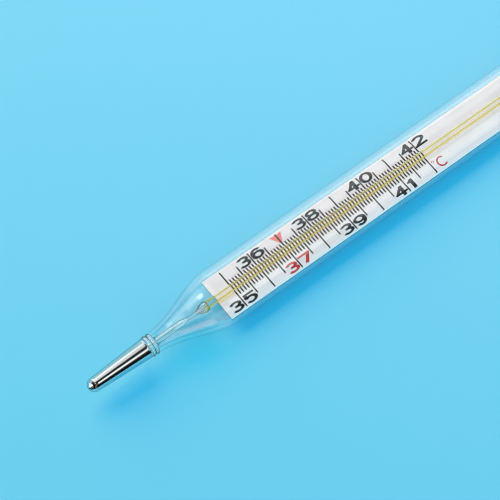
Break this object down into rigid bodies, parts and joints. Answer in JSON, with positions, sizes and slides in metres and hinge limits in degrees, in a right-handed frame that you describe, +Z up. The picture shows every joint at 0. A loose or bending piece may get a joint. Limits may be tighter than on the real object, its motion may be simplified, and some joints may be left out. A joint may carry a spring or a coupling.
{
  "type": "clinical thermometer",
  "caption": "Enclosed-scale mercury-in-glass clinical thermometer: flat-oval glass sheath, tapered mercury bulb, white scale plate and a capillary whose mercury rises to show body temperature.",
  "frame": {"origin": "centre of the bounding box, on the surface that the thermometer lies on", "axes": "+X along the thermometer from the bulb to the closed top end, +Y across the scale towards the even numbers, +Z up out of the front of the scale"},
  "size_m": [0.125, 0.0104, 0.007],
  "materials": {
    "sheath_glass": "fire-polished clear glass",
    "bulb_glass": "fire-polished clear glass with a faint green edge",
    "capillary_glass": "drawn clear glass",
    "yellow_glass": "yellow tinted glass",
    "mercury": "liquid mercury, mirror bright",
    "plate_white": "smooth cool white",
    "print_black": "printed ink",
    "print_red": "printed ink",
    "plug_white": "soft moulded plastic"
  },
  "bodies": {
    "thermometer": {"glass_sheath": "sheath_glass", "bulb_glass": "bulb_glass", "neck_weld": "bulb_glass", "bulb_mercury": "mercury", "bulb_stem": "capillary_glass", "constriction": "capillary_glass", "capillary_tube": "capillary_glass", "capillary_stripes": "yellow_glass", "mercury_thread": "mercury", "scale_plate": "plate_white", "graduation_lines": "print_black", "fever_mark": "print_red", "top_plug": "plug_white"},
    "mercury_top": {"mercury_meniscus": "mercury"}
  },
  "joints": [
    {"name": "mercury_rise", "type": "slide", "parent": "thermometer", "child": "mercury_top", "axis": [1, 0, 0], "range_m": [0, 0.0457], "deforming": ["mercury_thread"]}
  ]
}
